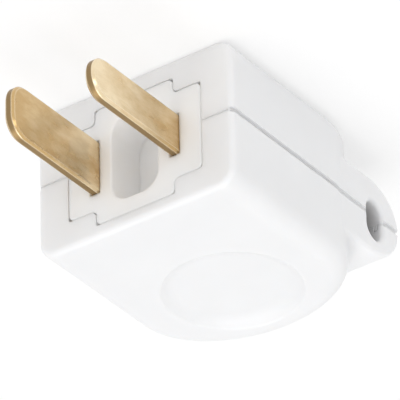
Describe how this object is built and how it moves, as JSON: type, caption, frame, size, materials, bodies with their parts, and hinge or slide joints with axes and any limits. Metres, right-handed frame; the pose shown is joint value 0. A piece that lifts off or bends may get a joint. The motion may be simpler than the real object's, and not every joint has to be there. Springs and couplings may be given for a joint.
{
  "type": "replacement plug",
  "caption": "Polarised flat-blade replacement plug with a sliding blade carriage, thumb dishes and a side slot for flat lamp cord.",
  "frame": {"origin": "centre of the blade pair on the plane of the mating face", "axes": "+Y from the mating face to the rear, +Z to the plain thumb dish, -X to the side with the cord slot; the blades point to -Y"},
  "size_m": [0.031, 0.056, 0.0222],
  "materials": {
    "white_shell": "smooth moulded white thermoplastic, soft gloss",
    "white_insert": "smooth moulded white thermoplastic, a little duller than the shells",
    "natural_nylon": "uncoloured moulded nylon",
    "blade_brass": "rolled and blanked brass with coined edges",
    "contact_bronze": "bright phosphor bronze strip",
    "rivet_brass": "plain brass",
    "screw_steel": "zinc plated steel"
  },
  "bodies": {
    "housing": {"upper_shell": "white_shell", "lower_shell": "white_shell", "shell_screw": "screw_steel"},
    "carriage": {"blade_holder": "white_insert", "tail_carrier": "natural_nylon", "neutral_blade": "blade_brass", "line_blade": "blade_brass", "neutral_contact": "contact_bronze", "line_contact": "contact_bronze", "neutral_rivet": "rivet_brass", "line_rivet": "rivet_brass"}
  },
  "joints": [
    {"name": "carriage_slide", "type": "slide", "parent": "housing", "child": "carriage", "axis": [0, -1, 0], "range_m": [0, 0.0045]}
  ]
}
